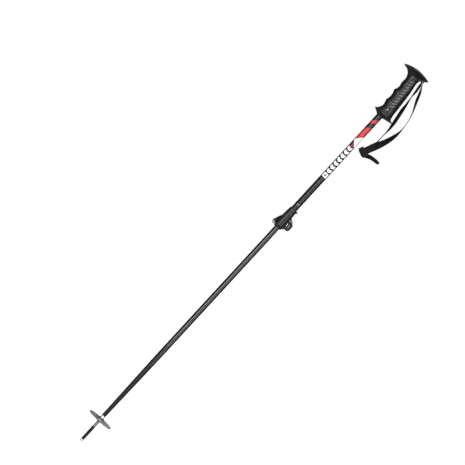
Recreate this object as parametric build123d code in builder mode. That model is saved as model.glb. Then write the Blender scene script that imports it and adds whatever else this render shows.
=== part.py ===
"""Adjustable two-part ski pole with a lever clamp, a moulded grip and a webbing wrist strap.

Millimetres. +Z runs up the shaft from the tip, which is the origin. +X is the back of the hand, where the strap
leaves the grip; the finger grooves face -X. The clamp's lugs are on +X, its screw head on -Y and its lever on +Y.
"""

import os
from math import cos, radians, sin

from build123d import *

# ---------------------------------------------------------------- driving dimensions
UPPER_R, LOWER_R = 7.0, 6.0  # the two tubes, 14 mm and 12 mm
WALL = 0.9  # of both tubes
LOWER_END_R = 4.5  # the lower tube where its taper ends
UPPER_BORE_R, LOWER_BORE_R = UPPER_R - WALL, LOWER_R - WALL
RUN = 0.05  # radial clearance of a running fit
SLIP = 0.02  # clearance of a glued or pressed slip fit

POINT_TOP_Z = 5.0  # heights of the pieces below the shaft
SLEEVE_TOP_Z = 39.0
BASKET_Z, BASKET_TOP_Z = 54.0, 63.5
LOWER_END_Z, TAPER_Z = 69.4, 210.0
UPPER_END_Z, UPPER_TOP_Z = 612.0, 1004.0
INSERTION = 90.0  # of the lower tube in the upper one
LOWER_TOP_Z = UPPER_END_Z + INSERTION

SLEEVE_R, NECK_R, POINT_R = 3.5, 3.2, 3.0
SEAT_R = 4.3  # the ferrule where the basket turns on it
BASKET_R, HUB_R = 28.7, 7.5

COLLAR_Z, COLLAR_TOP_Z = 597.0, 648.0  # the clamp's collar
RING_TOP_Z = 625.0  # below this the collar is split and clamps
RING_R = 10.6
SPLIT = 2.4
LUG_Y = 6.0  # the lugs' outer faces
LUG_SCREW = (14.0, 614.0)  # x and z of the clamp screw, which lies along Y
SCREW_R, SCREW_HEAD_R = 1.9, 3.4
PLATE_T = 0.6  # the cam's wear plate
CAM_R, CAM_OFFSET, BARREL_R = 3.6, 0.5, 2.0
CAM_GAP = 0.05
BARREL_Y = LUG_Y + PLATE_T + CAM_R + CAM_OFFSET + CAM_GAP
LEVER_Z, LEVER_TOP_Z = 606.0, 622.0
RIVET_Z, RIVET_R, RIVET_HEAD_R = 640.0, 1.5, 3.3

GRIP_Z = 909.0  # the grip's lower end
LID_INSET, LID_RISE, LID_BALL_R = 1.8, 6.4, 78.0  # the domed lid that closes the grip's cap
LID_FLOOR = 1.2  # the lid's seat below the cap's rim
LID_PIN_X, LID_PIN_Z, LID_PIN_R, LID_PIN_Y = -4.2, 1012.0, 1.5, 14.2
STRAP_W, STRAP_T = 15.0, 1.3
STRAP_GAP = 0.3  # between the strap and what it passes through
PIN_X, PIN_Z, PIN_R = 18.6, 1023.2, 1.5  # the pin that holds the strap, along Y
PIN_LENGTH = 20.4
SLIDER_X, SLIDER_Z = 25.2, 831.0
STRAP_LEAN = 23.0  # lean of the strap's straight stretch, which passes through the slider

os.makedirs("parts", exist_ok=True)


def save(part, label):
    """Labels a finished piece and writes its STEP."""
    part.label = label
    export_step(part, f"parts/{label}.step")
    print(label, round(part.volume))


# ---------------------------------------------------------------- tip, ferrule and basket
# Hard point: a cupped crown with six teeth, on a stem pressed into the sleeve.
CUP_R, CUP_DEPTH, TOOTH = 2.2, 1.6, 0.8
STEM_R, STEM_TOP_Z = 1.7, 15.0
with BuildPart() as tip_point:
    with BuildSketch(Plane.XZ):
        with BuildLine():
            Polyline(
                (0, CUP_DEPTH),
                (CUP_R, 0),
                (POINT_R, 0.6),
                (POINT_R, POINT_TOP_Z),
                (STEM_R, POINT_TOP_Z),
                (STEM_R, STEM_TOP_Z),
                (0, STEM_TOP_Z),
                close=True,
            )
        make_face()
    revolve(axis=Axis.Z)
    with PolarLocations(POINT_R, 6):
        Box(1.6, TOOTH, 1.2, align=(Align.CENTER, Align.CENTER, Align.MIN), mode=Mode.SUBTRACT)
save(tip_point.part, "tip_point")

# Black sleeve that carries the point, with a spigot that goes up into the ferrule.
SPIGOT_R, SPIGOT_TOP_Z = 2.0, SLEEVE_TOP_Z + 8
with BuildPart() as tip_sleeve:
    with BuildSketch(Plane.XY.offset(POINT_TOP_Z)):
        Circle(SLEEVE_R)
    extrude(amount=SLEEVE_TOP_Z - POINT_TOP_Z)
    chamfer(tip_sleeve.edges().filter_by(GeomType.CIRCLE), 0.4)
    with BuildSketch(Plane.XY.offset(SLEEVE_TOP_Z)):
        Circle(SPIGOT_R)
    extrude(amount=SPIGOT_TOP_Z - SLEEVE_TOP_Z)
    with BuildSketch(Plane.XY.offset(POINT_TOP_Z)):
        Circle(STEM_R)
    extrude(amount=STEM_TOP_Z - POINT_TOP_Z, mode=Mode.SUBTRACT)
save(tip_sleeve.part, "tip_sleeve")

# Bright ferrule: neck, basket seat between two lips, collar, and the plug glued into the lower tube.
LIP_R, LIP_T = 4.9, 1.0
PLUG_R, PLUG_TOP_Z = LOWER_END_R - WALL, 95.0
with BuildPart() as ferrule:
    with BuildSketch(Plane.XZ):
        with BuildLine():
            Polyline(
                (0, SLEEVE_TOP_Z),
                (NECK_R, SLEEVE_TOP_Z),
                (NECK_R, BASKET_Z - 2 * LIP_T),
                (LIP_R, BASKET_Z - LIP_T),
                (LIP_R, BASKET_Z),
                (SEAT_R, BASKET_Z),
                (SEAT_R, BASKET_TOP_Z),
                (LOWER_END_R, BASKET_TOP_Z),
                (LOWER_END_R, LOWER_END_Z),
                (PLUG_R, LOWER_END_Z),
                (PLUG_R, PLUG_TOP_Z),
                (0, PLUG_TOP_Z),
                close=True,
            )
        make_face()
    revolve(axis=Axis.Z)
    with BuildSketch(Plane.XY.offset(SLEEVE_TOP_Z)):
        Circle(SPIGOT_R)
    extrude(amount=SPIGOT_TOP_Z - SLEEVE_TOP_Z, mode=Mode.SUBTRACT)
save(ferrule.part, "ferrule")

# Basket: a shallow dish on a hub, with six windows and two notches in its rim.
RIM_Z, DISH_T, RIM_T = 57.4, 1.5, 2.6
WINDOW_IN_R, WINDOW_OUT_R, WINDOW_ARC = 12.5, 22.5, 34.0
NOTCH_ANGLE, NOTCH_R = 247.0, 4.0
HUB_Z, HUB_TOP_Z = BASKET_Z + RUN, BASKET_TOP_Z - RUN
with BuildPart() as basket:
    with BuildSketch(Plane.XZ):
        with BuildLine():
            Polyline(
                (SEAT_R + RUN, HUB_Z),
                (HUB_R, HUB_Z),
                (HUB_R + 1, 58.6),
                (BASKET_R - 3, RIM_Z + 0.3),
                (BASKET_R - 3, RIM_Z - 0.3),
                (BASKET_R - 0.8, RIM_Z - 0.3),
                (BASKET_R, RIM_Z + 0.5),
                (BASKET_R, RIM_Z + RIM_T - 0.8),
                (BASKET_R - 0.8, RIM_Z + RIM_T),
                (BASKET_R - 3, RIM_Z + RIM_T - 0.4),
                (HUB_R + 1, 58.6 + 2 * DISH_T),
                (HUB_R - 1, HUB_TOP_Z),
                (SEAT_R + RUN, HUB_TOP_Z),
                close=True,
            )
        make_face()
    revolve(axis=Axis.Z)
    with BuildSketch(Plane.XY.offset(BASKET_Z)):
        for turn in range(6):
            with BuildLine(mode=Mode.PRIVATE) as window:
                start = 60 * turn - WINDOW_ARC / 2
                outer = CenterArc((0, 0), WINDOW_OUT_R, start, WINDOW_ARC)
                inner = CenterArc((0, 0), WINDOW_IN_R, start, WINDOW_ARC)
                Line(outer @ 0, inner @ 0)
                Line(outer @ 1, inner @ 1)
            make_face(window.edges())
    extrude(amount=BASKET_TOP_Z - BASKET_Z, mode=Mode.SUBTRACT)
    with PolarLocations(BASKET_R + 1.5, 2, start_angle=NOTCH_ANGLE):
        with Locations((0, 0, BASKET_Z)):
            Cylinder(
                NOTCH_R,
                BASKET_TOP_Z - BASKET_Z,
                align=(Align.CENTER, Align.CENTER, Align.MIN),
                mode=Mode.SUBTRACT,
            )
save(basket.part, "basket")

# ---------------------------------------------------------------- tubes
with BuildPart() as lower_tube:
    with BuildSketch(Plane.XZ):
        with BuildLine():
            Polyline(
                (LOWER_END_R, LOWER_END_Z),
                (LOWER_R, TAPER_Z),
                (LOWER_R, LOWER_TOP_Z),
                (LOWER_BORE_R, LOWER_TOP_Z),
                (LOWER_BORE_R, TAPER_Z),
                (LOWER_END_R - WALL, LOWER_END_Z),
                close=True,
            )
        make_face()
    revolve(axis=Axis.Z)
save(lower_tube.part, "lower_tube")

# Plug in the top of the lower tube: its head runs in the upper tube's bore and stops the tube rattling.
PLUG_HEAD_T, PLUG_STEM = 2.0, 12.0
with BuildPart() as end_plug:
    with BuildSketch(Plane.XY.offset(LOWER_TOP_Z + SLIP)):
        Circle(LOWER_R)
    extrude(amount=PLUG_HEAD_T)
    chamfer(end_plug.edges().sort_by(Axis.Z)[-1], 0.5)
    with BuildSketch(Plane.XY.offset(LOWER_TOP_Z + SLIP)):
        Circle(LOWER_BORE_R - RUN)
    extrude(amount=-PLUG_STEM)
save(end_plug.part, "end_plug")

with BuildPart() as upper_tube:
    with BuildSketch(Plane.XY.offset(UPPER_END_Z)):
        Circle(UPPER_R)
        Circle(UPPER_BORE_R, mode=Mode.SUBTRACT)
    extrude(amount=UPPER_TOP_Z - UPPER_END_Z)
    with BuildSketch(Plane.XZ):
        with Locations((0, RIVET_Z)):
            Circle(RIVET_R + SLIP)
    extrude(amount=UPPER_R, mode=Mode.SUBTRACT)
save(upper_tube.part, "upper_tube")

# ---------------------------------------------------------------- clamp
# Split bush that fills the step between the collar's bore and the lower tube.
with BuildPart() as guide_bush:
    with BuildSketch(Plane.XY.offset(COLLAR_Z + 1)):
        Circle(UPPER_R - SLIP)
        Circle(LOWER_R + RUN, mode=Mode.SUBTRACT)
        with Locations((UPPER_R, 0)):
            Rectangle(UPPER_R, SPLIT - 0.6, mode=Mode.SUBTRACT)
    extrude(amount=UPPER_END_Z - COLLAR_Z - 1.2)
save(guide_bush.part, "guide_bush")

# Collar: a sleeve glued on the upper tube above, and a split ring with two lugs below.
FIN_TIP = (19.0, 626.2)
FIN_T, SPUR_T = 7.2, 8.0
RELIEF = 0.5  # the slit between the ring and the sleeve
HEAD_RECESS, RIVET_SEAT_Y = 1.6, 8.2
with BuildPart() as clamp_collar:
    with BuildSketch(Plane.XZ):
        with BuildLine():
            Polyline(
                (0, COLLAR_Z),
                (8.0, COLLAR_Z),
                (RING_R, 603),
                (RING_R, RING_TOP_Z - 3),
                (10.2, RING_TOP_Z - 1),
                (8.9, COLLAR_TOP_Z - 3),
                (8.3, COLLAR_TOP_Z),
                (0, COLLAR_TOP_Z),
                close=True,
            )
        make_face()
    revolve(axis=Axis.Z)
    # lugs, and the foot that runs down from them
    with BuildSketch(Plane.XZ.offset(-LUG_Y)) as lug_side:
        with BuildLine():
            Polyline(
                (4, 624.6),
                (17.2, 624.6),
                (22.6, 619.5),
                (22.9, 609),
                (20.5, 604.6),
                (14, 604.2),
                (7.5, 598.5),
                (4, 598.5),
                close=True,
            )
        make_face()
        fillet(lug_side.vertices().sort_by(Axis.X)[-4:], 2.2)
    extrude(amount=2 * LUG_Y)
    # fin over the lugs, part of the sleeve
    with BuildSketch(Plane.XZ.offset(-FIN_T / 2)):
        with BuildLine():
            Line((4, 634), (8.6, 634))
            Spline((8.6, 634), (11.2, 629.6), FIN_TIP, tangents=[(0.1, -1), (1, -0.12)])
            Polyline(FIN_TIP, (16.5, RING_TOP_Z + RELIEF / 2), (4, RING_TOP_Z + RELIEF / 2), (4, 634))
        make_face()
    extrude(amount=FIN_T)
    # lip at the sleeve's top, and the spur under the lever's tip
    with BuildSketch(Plane.XZ.offset(-SPUR_T / 2)):
        with BuildLine():
            Polyline((6, 642), (8.9, 642.6), (11.6, 646.0), (11.4, 647.4), (8, 647.8), (6, 647.8), close=True)
        make_face()
        with BuildLine():
            Polyline((-7.4, 602), (-9.4, 602), (-10.3, 599.2), (-9.4, 597.6), (-7.4, 597.4), close=True)
        make_face()
    extrude(amount=SPUR_T)
    # bore, split and relief slit, so that the ring can close
    with BuildSketch(Plane.XY.offset(COLLAR_Z)):
        Circle(UPPER_R + SLIP)
    extrude(amount=COLLAR_TOP_Z - COLLAR_Z, mode=Mode.SUBTRACT)
    with BuildSketch(Plane.XZ.offset(-SPLIT / 2)):
        with BuildLine():
            Polyline((5, COLLAR_Z), (30, COLLAR_Z), (30, RING_TOP_Z), (5, RING_TOP_Z), close=True)
        make_face()
    extrude(amount=SPLIT, mode=Mode.SUBTRACT)
    with Locations((12, 0, RING_TOP_Z + RELIEF / 2)):
        Box(24, 40, RELIEF, mode=Mode.SUBTRACT)
    # screw hole with the head's recess, and the rivet's recess
    with BuildSketch(Plane.XZ.offset(-LUG_Y)):
        with Locations(LUG_SCREW):
            Circle(SCREW_R + 0.2)
    extrude(amount=2 * LUG_Y, mode=Mode.SUBTRACT)
    with BuildSketch(Plane.XZ.offset(LUG_Y)):
        with Locations(LUG_SCREW):
            Circle(SCREW_HEAD_R + 0.3)
    extrude(amount=-HEAD_RECESS, mode=Mode.SUBTRACT)
    with BuildSketch(Plane.XZ.offset(RIVET_SEAT_Y)):
        with Locations((0, RIVET_Z)):
            Circle(RIVET_HEAD_R + 0.2)
    extrude(amount=RING_R - RIVET_SEAT_Y, mode=Mode.SUBTRACT)
    with BuildSketch(Plane.XZ):
        with Locations((0, RIVET_Z)):
            Circle(RIVET_R + SLIP)
    extrude(amount=RING_R, mode=Mode.SUBTRACT)
save(clamp_collar.part, "clamp_collar")

# Rivet through the sleeve and the upper tube's wall; it ends flush with the tube's bore.
with BuildPart() as collar_rivet:
    with BuildSketch(Plane.XZ.offset(UPPER_BORE_R + 0.1)):
        with Locations((0, RIVET_Z)):
            Circle(RIVET_R)
    extrude(amount=RIVET_SEAT_Y - UPPER_BORE_R - 0.1)
    with BuildSketch(Plane.XZ.offset(RIVET_SEAT_Y)):
        with Locations((0, RIVET_Z)):
            Circle(RIVET_HEAD_R)
    extrude(amount=1.3)
    fillet(collar_rivet.edges().sort_by(Axis.Y)[0], 0.8)
save(collar_rivet.part, "collar_rivet")

# Clamp screw: head in the front lug, shank through both lugs into the barrel pin.
HEAD_Y = -LUG_Y + HEAD_RECESS  # the head's seat, less the washer
WASHER_T, HEAD_T = 0.5, 2.4
SOCKET_R, SOCKET_DEPTH = 1.7, 1.7
with BuildPart() as clamp_screw:
    with BuildSketch(Plane.XZ.offset(-HEAD_Y + WASHER_T)):
        with Locations(LUG_SCREW):
            Circle(SCREW_HEAD_R)
    extrude(amount=HEAD_T)
    fillet(clamp_screw.edges().sort_by(Axis.Y)[0], 0.9)
    with BuildSketch(Plane.XZ.offset(-HEAD_Y + WASHER_T)):
        with Locations(LUG_SCREW):
            Circle(SCREW_R)
    extrude(amount=-(BARREL_Y + BARREL_R - 0.6 - HEAD_Y + WASHER_T))
    with BuildSketch(Plane.XZ.offset(-HEAD_Y + WASHER_T + HEAD_T)):
        with Locations(LUG_SCREW):
            RegularPolygon(SOCKET_R, 6)
    extrude(amount=-SOCKET_DEPTH, mode=Mode.SUBTRACT)
save(clamp_screw.part, "clamp_screw")

with BuildPart() as screw_washer:
    with BuildSketch(Plane.XZ.offset(-HEAD_Y + SLIP)):
        with Locations(LUG_SCREW):
            Circle(SCREW_HEAD_R + 0.2)
            Circle(SCREW_R + 0.15, mode=Mode.SUBTRACT)
    extrude(amount=WASHER_T - 2 * SLIP)
save(screw_washer.part, "screw_washer")

# Barrel pin: the lever turns on it, and the screw is threaded across it.
with BuildPart() as barrel_pin:
    with BuildSketch(Plane.XY.offset(LEVER_Z - 0.6)):
        with Locations((LUG_SCREW[0], BARREL_Y)):
            Circle(BARREL_R)
    extrude(amount=LEVER_TOP_Z - LEVER_Z + 1.2)
    chamfer(barrel_pin.edges().filter_by(GeomType.CIRCLE), 0.3)
    with BuildSketch(Plane.XZ.offset(-BARREL_Y - BARREL_R)):
        with Locations(LUG_SCREW):
            Circle(SCREW_R + RUN)
    extrude(amount=2 * BARREL_R, mode=Mode.SUBTRACT)
save(barrel_pin.part, "barrel_pin")

# Steel plate on the rear lug, which the cam presses on.
with BuildPart() as cam_plate:
    with BuildSketch(Plane.XZ.offset(-LUG_Y - PLATE_T + SLIP)):
        with Locations((LUG_SCREW[0] + 1, LUG_SCREW[1])):
            RectangleRounded(10, 8, 1)
        with Locations(LUG_SCREW):
            Circle(SCREW_R + 0.2, mode=Mode.SUBTRACT)
    extrude(amount=PLATE_T - 2 * SLIP)
save(cam_plate.part, "cam_plate")

# Lever: an eccentric head on the barrel pin, and an arm that wraps round the ring to a finger tab on -X.
ARM_IN_R, ARM_OUT_R = RING_R + 0.4, RING_R + 3.0
TAB_X = -17.4
EYE, EYE_R = (-14.1, 601.7), 1.3  # the eye in the tab, x and z
with BuildPart() as cam_lever:
    # the arm seen from above
    with BuildSketch(Plane.XY.offset(COLLAR_Z)):
        with BuildLine():
            root_in = Vector(ARM_IN_R * cos(radians(58)), ARM_IN_R * sin(radians(58)))
            heel_in = Vector(ARM_IN_R * cos(radians(176)), ARM_IN_R * sin(radians(176)))
            RadiusArc(root_in, heel_in, -ARM_IN_R)
            Polyline(heel_in, (-11.2, -3.0), (TAB_X, -3.4), (TAB_X, 1.2))
            crown = Vector(ARM_OUT_R * cos(radians(128)), ARM_OUT_R * sin(radians(128)))
            Spline((TAB_X, 1.2), crown, (2.0, 13.9), tangents=[(0.3, 1), (1, 0.03)])
            Polyline((2.0, 13.9), (LUG_SCREW[0], 14.1), (LUG_SCREW[0], BARREL_Y - 2), root_in)
        make_face()
    extrude(amount=RING_TOP_Z - COLLAR_Z)
    with BuildSketch(Plane.XY.offset(COLLAR_Z)):
        with Locations((LUG_SCREW[0], BARREL_Y - CAM_OFFSET)):
            Circle(CAM_R)
    extrude(amount=RING_TOP_Z - COLLAR_Z)
    # the arm seen from the front
    with BuildSketch(Plane.XZ.offset(-20)):
        with BuildLine():
            Polyline(
                (20, LEVER_Z),
                (20, LEVER_TOP_Z),
                (-10.4, LEVER_TOP_Z),
                (-12.4, 619.6),
                (TAB_X, 605.6),
                (-17.0, 602),
                (-16.2, 599.6),
                (-14.0, 598.2),
                (-11.8, 598.4),
                (-10.9, 599.6),
                (-10.9, 602.4),
                (-4, LEVER_Z - 2.5),
                close=True,
            )
        make_face()
    extrude(amount=30, mode=Mode.INTERSECT)
    with BuildSketch(Plane.XZ.offset(-20)):
        with Locations(EYE):
            Circle(EYE_R)
    extrude(amount=30, mode=Mode.SUBTRACT)
    # slot that straddles the screw, and the barrel pin's hole
    with Locations((LUG_SCREW[0] + 3, BARREL_Y, LUG_SCREW[1])):
        Box(11, 10, 2 * SCREW_R + 0.8, mode=Mode.SUBTRACT)
    with BuildSketch(Plane.XY.offset(COLLAR_Z)):
        with Locations((LUG_SCREW[0], BARREL_Y)):
            Circle(BARREL_R + RUN)
    extrude(amount=RING_TOP_Z - COLLAR_Z, mode=Mode.SUBTRACT)
save(cam_lever.part, "cam_lever")

# ---------------------------------------------------------------- grip
# Oval sections from the flange up to the cap's rim: front (x, z), back (x, z) and half the depth in Y.
GRIP_SECTIONS = [
    ((-18.6, 918.0), (26.4, 916.0), 16.0),
    ((-16.4, 919.6), (23.6, 918.2), 14.9),
    ((-14.0, 922.8), (21.5, 922.0), 13.8),
    ((-11.8, 927.6), (20.4, 927.4), 13.2),
    ((-10.8, 932.5), (19.9, 932.5), 13.0),
    ((-13.6, 944.7), (18.9, 944.7), 13.0),
    ((-11.9, 956.5), (17.9, 956.5), 12.7),
    ((-15.0, 970.5), (16.6, 970.5), 12.7),
    ((-12.0, 983.0), (15.4, 983.0), 12.3),
    ((-13.7, 994.0), (13.7, 994.0), 12.2),
    ((-13.6, 1003.5), (12.1, 1003.5), 12.2),
    ((-16.2, 1011.0), (11.4, 1011.6), 13.2),
    ((-20.6, 1016.6), (13.3, 1017.8), 16.0),
    ((-27.6, 1020.8), (19.0, 1022.6), 21.6),
    ((-34.6, 1022.6), (26.4, 1026.9), 28.4),
]
FLANGE_LOW = ((-19.4, 916.2), (28.6, 913.6), 16.6)
FLANGE_HIGH = ((-20.2, 917.2), (29.4, 914.8), 17.0)
CAP_HIGH = ((-35.4, 1023.4), (27.3, 1027.9), 29.5)


def oval(front, back, half_depth, inset=0.0, lift=0.0):
    """Ellipse through a front and a back point, tilted with them."""
    low, high = Vector(front[0], 0, front[1]), Vector(back[0], 0, back[1])
    along = (high - low).normalized()
    up = Vector(-along.Z, 0, along.X)
    with BuildSketch(Plane(origin=(low + high) / 2 + up * lift, x_dir=along, z_dir=up)) as section:
        Ellipse((high - low).length / 2 - inset, half_depth - inset)
    return section.sketch


cap_low, cap_high = Vector(CAP_HIGH[0][0], 0, CAP_HIGH[0][1]), Vector(CAP_HIGH[1][0], 0, CAP_HIGH[1][1])
cap_along = (cap_high - cap_low).normalized()
cap_up = Vector(-cap_along.Z, 0, cap_along.X)
CAP_CENTRE = (cap_low + cap_high) / 2
POCKET_HALF = STRAP_W / 2 + STRAP_GAP
THROUGH = 60.0  # longer than the grip is deep

with BuildPart() as grip_body:
    loft([oval(*section) for section in GRIP_SECTIONS])
    loft([oval(*GRIP_SECTIONS[-1]), oval(*CAP_HIGH)], ruled=True)
    loft([oval(*FLANGE_HIGH), oval(*GRIP_SECTIONS[0])], ruled=True)
    loft([oval(*FLANGE_LOW), oval(*FLANGE_HIGH)], ruled=True)
    with BuildSketch(Plane.XY.offset(GRIP_Z)) as boot:
        Circle(UPPER_R + 1.3)
    loft([boot.sketch, oval(*FLANGE_LOW)], ruled=True)
    # housing for the strap's pin, under the cap's back edge
    with BuildSketch(Plane.XZ.offset(-PIN_LENGTH / 2 - 0.5)):
        with BuildLine():
            Polyline(
                (PIN_X - 12, PIN_Z + 2.6),
                (PIN_X - 12, PIN_Z - 10),
                (PIN_X - 4.5, PIN_Z - 4.6),
                (PIN_X + 1.2, PIN_Z - 2.4),
                (PIN_X + 2.7, PIN_Z - 0.7),
                (PIN_X + 2.9, PIN_Z + 2.6),
                close=True,
            )
        make_face()
    extrude(amount=PIN_LENGTH + 1)
    # seat of the lid, and the bore for the tube and the lid's spigot
    loft(
        [oval(*CAP_HIGH, inset=LID_INSET, lift=-LID_FLOOR), oval(*CAP_HIGH, inset=LID_INSET, lift=1)],
        ruled=True,
        mode=Mode.SUBTRACT,
    )
    with BuildSketch(Plane.XY.offset(GRIP_Z)):
        Circle(UPPER_R + SLIP)
    extrude(amount=CAP_CENTRE.Z + LID_RISE - GRIP_Z, mode=Mode.SUBTRACT)
    # pocket for the strap, open below so that the strap can swing out, and the pin's groove
    with BuildSketch(Plane.XZ.offset(-POCKET_HALF)):
        with BuildLine():
            Polyline(
                (PIN_X - 3.4, PIN_Z - 8),
                (PIN_X - 3.4, PIN_Z + 4.4),
                (PIN_X + 1.2, PIN_Z + 3.4),
                (PIN_X + 12, PIN_Z + 0.3),
                (PIN_X + 12, PIN_Z - 8),
                close=True,
            )
        make_face()
    extrude(amount=2 * POCKET_HALF, mode=Mode.SUBTRACT)
    with Locations((PIN_X, 0, PIN_Z)):
        Cylinder(PIN_R + SLIP, PIN_LENGTH + 0.4, rotation=(90, 0, 0), mode=Mode.SUBTRACT)
    with Locations((LID_PIN_X, 0, LID_PIN_Z)):
        Cylinder(LID_PIN_R + SLIP, THROUGH, rotation=(90, 0, 0), mode=Mode.SUBTRACT)
save(grip_body.part, "grip_body")

# Lid: a dome over the cap with a spigot down to the tube.
with BuildPart() as grip_lid:
    lid_low = oval(*CAP_HIGH, inset=LID_INSET + 0.1, lift=SLIP - LID_FLOOR)
    lid_high = oval(*CAP_HIGH, inset=LID_INSET + 0.1, lift=LID_RISE + 1)
    loft([lid_low, lid_high], ruled=True)
    with Locations(CAP_CENTRE + cap_up * (LID_RISE - LID_BALL_R)):
        Sphere(LID_BALL_R, mode=Mode.INTERSECT)
    with BuildSketch(Plane.XY.offset(UPPER_TOP_Z + 0.3)):
        Circle(UPPER_R - SLIP)
    extrude(amount=CAP_CENTRE.Z - UPPER_TOP_Z)
    with BuildSketch(Plane.XZ.offset(-POCKET_HALF)):
        with Locations((PIN_X, PIN_Z)):
            Circle(PIN_R + STRAP_T + 2 * STRAP_GAP)
    extrude(amount=2 * POCKET_HALF, mode=Mode.SUBTRACT)
    with Locations((LID_PIN_X, 0, LID_PIN_Z)):
        Cylinder(LID_PIN_R + SLIP, THROUGH, rotation=(90, 0, 0), mode=Mode.SUBTRACT)
save(grip_lid.part, "grip_lid")

with BuildPart() as lid_pin:
    with Locations((LID_PIN_X, 0, LID_PIN_Z)):
        Cylinder(LID_PIN_R, 2 * LID_PIN_Y, rotation=(90, 0, 0))
    chamfer(lid_pin.edges().filter_by(GeomType.CIRCLE), 0.4)
save(lid_pin.part, "lid_pin")

with BuildPart() as strap_pin:
    with Locations((PIN_X, 0, PIN_Z)):
        Cylinder(PIN_R, PIN_LENGTH, rotation=(90, 0, 0))
    chamfer(strap_pin.edges().filter_by(GeomType.CIRCLE), 0.3)
save(strap_pin.part, "strap_pin")

# ---------------------------------------------------------------- wrist strap and slider
lean = radians(STRAP_LEAN)
STRAP_UP = Vector(sin(lean), 0, cos(lean))
STRAP_SIDE = Vector(cos(lean), 0, -sin(lean))
SLIDER = Vector(SLIDER_X, 0, SLIDER_Z)
STRAIGHT, CROSSING = 30.0, 8.0  # the flat stretch above the slider, and how far the strands reach into it
FOLD_BELOW = 7.3  # how far below the slider's middle the strap folds back
TAIL_Y = 4.0  # the tail lies this far behind
MERGE = SLIDER + STRAP_UP * (STRAIGHT - CROSSING)
BEND_R = PIN_R + STRAP_T / 2 + 0.15
LAYERS_T, MERGE_ANGLE = 2 * STRAP_T - 0.1, 5.0  # both layers together, and the angle at which they meet

# x and z down each strand, and out along the tail
INNER_STRAND = [(18.6, 1010), (21.4, 992), (24.4, 968), (28.2, 938), (31.9, 914), (33.0, 898), (32.7, 880)]
OUTER_STRAND = [(23.4, 1012), (31.4, 994), (41.2, 970), (48.6, 950), (52.8, 925), (52.0, 903), (45.8, 879)]
TAIL = [(24.4, 826.6), (34.5, 830.2), (44.0, 833.6), (54.0, 835.2), (64.4, 835.4)]
TAIL_W, FOLD_T = 9.0, 1.6

with BuildPart() as wrist_strap:
    # both strands, and the bend round the pin
    with BuildSketch(Plane.XZ.offset(-STRAP_W / 2)):
        for sign, points in ((-1, INNER_STRAND), (1, OUTER_STRAND)):
            with BuildLine(mode=Mode.PRIVATE) as strand:
                end = MERGE + STRAP_SIDE * (sign * (LAYERS_T - STRAP_T) / 2)
                heading = STRAP_UP.rotate(Axis.Y, sign * MERGE_ANGLE) * -1
                Spline(
                    (PIN_X + sign * BEND_R, PIN_Z),
                    *points,
                    (end.X, end.Z),
                    tangents=[(0, -1), (heading.X, heading.Z)],
                )
            trace(strand.line, STRAP_T)
        with BuildLine(mode=Mode.PRIVATE) as bend:
            CenterArc((PIN_X, PIN_Z), BEND_R, 0, 180)
        trace(bend.line, STRAP_T)
    extrude(amount=STRAP_W)
    # both layers, turned to face the front, run through the slider
    with BuildSketch(Plane(origin=SLIDER + STRAP_UP * STRAIGHT, x_dir=STRAP_SIDE, z_dir=-STRAP_UP)):
        Rectangle(STRAP_W, LAYERS_T)
    extrude(amount=STRAIGHT + FOLD_BELOW)
    # the fold under the slider, and the free tail behind it
    with BuildSketch(Plane(origin=SLIDER - STRAP_UP * (FOLD_BELOW - FOLD_T), x_dir=STRAP_SIDE, z_dir=-STRAP_UP)):
        with Locations((0, -TAIL_Y / 2)):
            Rectangle(STRAP_W, TAIL_Y + 2 * STRAP_T)
    extrude(amount=FOLD_T)
    with BuildSketch(Plane.XZ.offset(-TAIL_Y - STRAP_T)):
        with BuildLine(mode=Mode.PRIVATE) as tail:
            Spline(*TAIL)
        trace(tail.line, TAIL_W)
        with Locations(TAIL[-1]):
            Circle(TAIL_W / 2)
    extrude(amount=STRAP_T)
save(wrist_strap.part, "wrist_strap")

SLIDER_W, SLIDER_H, SLIDER_T = 22.0, 11.0, 6.6
BAR = 1.9
slider_plane = Plane(origin=SLIDER - STRAP_UP * (SLIDER_H / 2), x_dir=STRAP_SIDE, z_dir=STRAP_UP)
with BuildPart() as strap_slider:
    with BuildSketch(slider_plane):
        RectangleRounded(SLIDER_W, SLIDER_T, 1.4)
        Rectangle(STRAP_W + 2 * STRAP_GAP, 2 * STRAP_T + 2 * STRAP_GAP, mode=Mode.SUBTRACT)
    extrude(amount=SLIDER_H)
    # two windows in the front leave three bars
    with BuildSketch(Plane(origin=SLIDER - Vector(0, SLIDER_T, 0), x_dir=STRAP_SIDE, z_dir=(0, -1, 0))):
        with GridLocations(1, (SLIDER_H - BAR) / 2, 1, 2):
            RectangleRounded(STRAP_W, (SLIDER_H - 3 * BAR) / 2, 0.8)
    extrude(amount=-SLIDER_T, mode=Mode.SUBTRACT)
save(strap_slider.part, "strap_slider")
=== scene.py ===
"""Looks of the adjustable ski pole: grip, webbing, printed tube and finishes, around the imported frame.

The frame is in metres, and the shapes and prints below are in millimetres in the same frame. z runs up the
shaft from the tip, x from the fingers' side of the grip to the palm's side, and the front faces -y.
"""

import math

import bmesh
import bpy
import numpy as np
from mathutils import Matrix, Vector


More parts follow.
